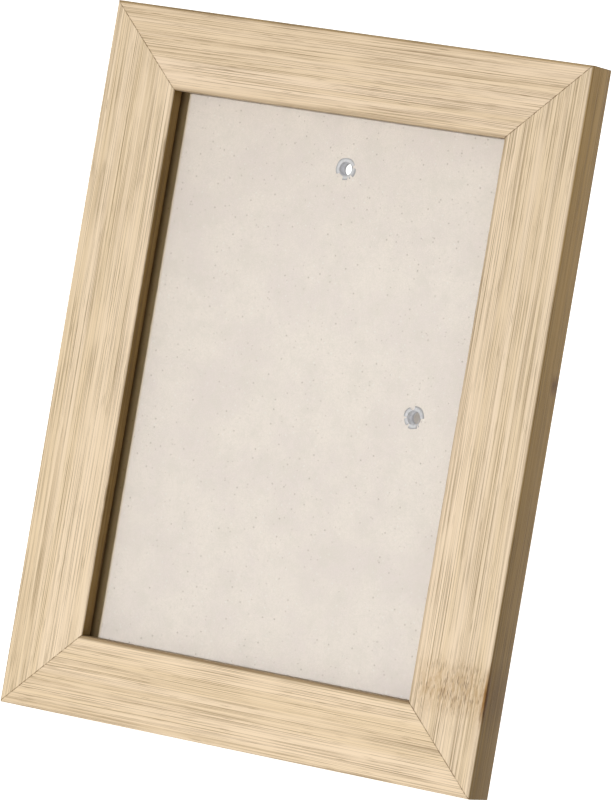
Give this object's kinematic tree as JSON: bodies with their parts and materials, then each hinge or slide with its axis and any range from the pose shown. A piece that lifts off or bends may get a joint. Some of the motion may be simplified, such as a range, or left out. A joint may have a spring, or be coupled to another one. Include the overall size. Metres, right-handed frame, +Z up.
{
  "type": "picture frame",
  "caption": "Leaning tabletop and wall picture frame: mitred bamboo rails, glass pane, backing board, swivel hangers, turn buttons and a folding easel leg.",
  "frame": {"origin": "middle of the footprint box on the surface the frame stands on", "axes": "+Z up, +Y from the picture side to the back, +X to the right as seen from the front"},
  "size_m": [0.136, 0.0708, 0.1742],
  "materials": {
    "bamboo": "satin",
    "board": "matt",
    "leg_board": "matt",
    "glass": "clear",
    "nickel": "satin",
    "steel": "satin"
  },
  "bodies": {
    "frame": {"top_rail": "bamboo", "bottom_rail": "bamboo", "left_rail": "bamboo", "right_rail": "bamboo", "corner_v_nails": "steel", "glass_pane": "glass", "backing_board": "board", "eyelet_top": "nickel", "eyelet_side": "nickel", "hinge_board_leaf": "nickel", "hinge_pin": "steel", "turn_button_screws": "steel"},
    "leg": {"easel_leg": "leg_board", "hinge_leg_leaf": "nickel", "leg_rivets": "nickel"},
    "top_hanger": {"hanger_top": "nickel"},
    "side_hanger": {"hanger_side": "nickel"},
    "button_left_low": {"turn_button_left_low": "nickel"},
    "button_left_high": {"turn_button_left_high": "nickel"},
    "button_right_low": {"turn_button_right_low": "nickel"},
    "button_right_high": {"turn_button_right_high": "nickel"}
  },
  "joints": [
    {"name": "leg_fold", "type": "hinge", "parent": "frame", "child": "leg", "pos_m": [0, 0.01702, 0.1206], "axis": [-1, 0, 0], "range_deg": [0, 25.3]},
    {"name": "top_hanger_swivel", "type": "hinge", "parent": "frame", "child": "top_hanger", "pos_m": [0.0018, 0.02232, 0.13967], "axis": [0, 0.9421, -0.3355], "range_deg": [-90, 90]},
    {"name": "side_hanger_swivel", "type": "hinge", "parent": "frame", "child": "side_hanger", "pos_m": [0.0324, 0.00275, 0.0847], "axis": [0, 0.9421, -0.3355], "range_deg": [-90, 90]},
    {"name": "button_left_low_turn", "type": "hinge", "parent": "frame", "child": "button_left_low", "pos_m": [-0.0575, -0.01196, 0.04281], "axis": [0, 0.9421, -0.3355], "range_deg": [-90, 90]},
    {"name": "button_left_high_turn", "type": "hinge", "parent": "frame", "child": "button_left_high", "pos_m": [-0.0575, 0.01891, 0.12948], "axis": [0, 0.9421, -0.3355], "range_deg": [-90, 90]},
    {"name": "button_right_low_turn", "type": "hinge", "parent": "frame", "child": "button_right_low", "pos_m": [0.0575, -0.01196, 0.04281], "axis": [0, 0.9421, -0.3355], "range_deg": [-90, 90]},
    {"name": "button_right_high_turn", "type": "hinge", "parent": "frame", "child": "button_right_high", "pos_m": [0.0575, 0.01891, 0.12948], "axis": [0, 0.9421, -0.3355], "range_deg": [-90, 90]}
  ]
}
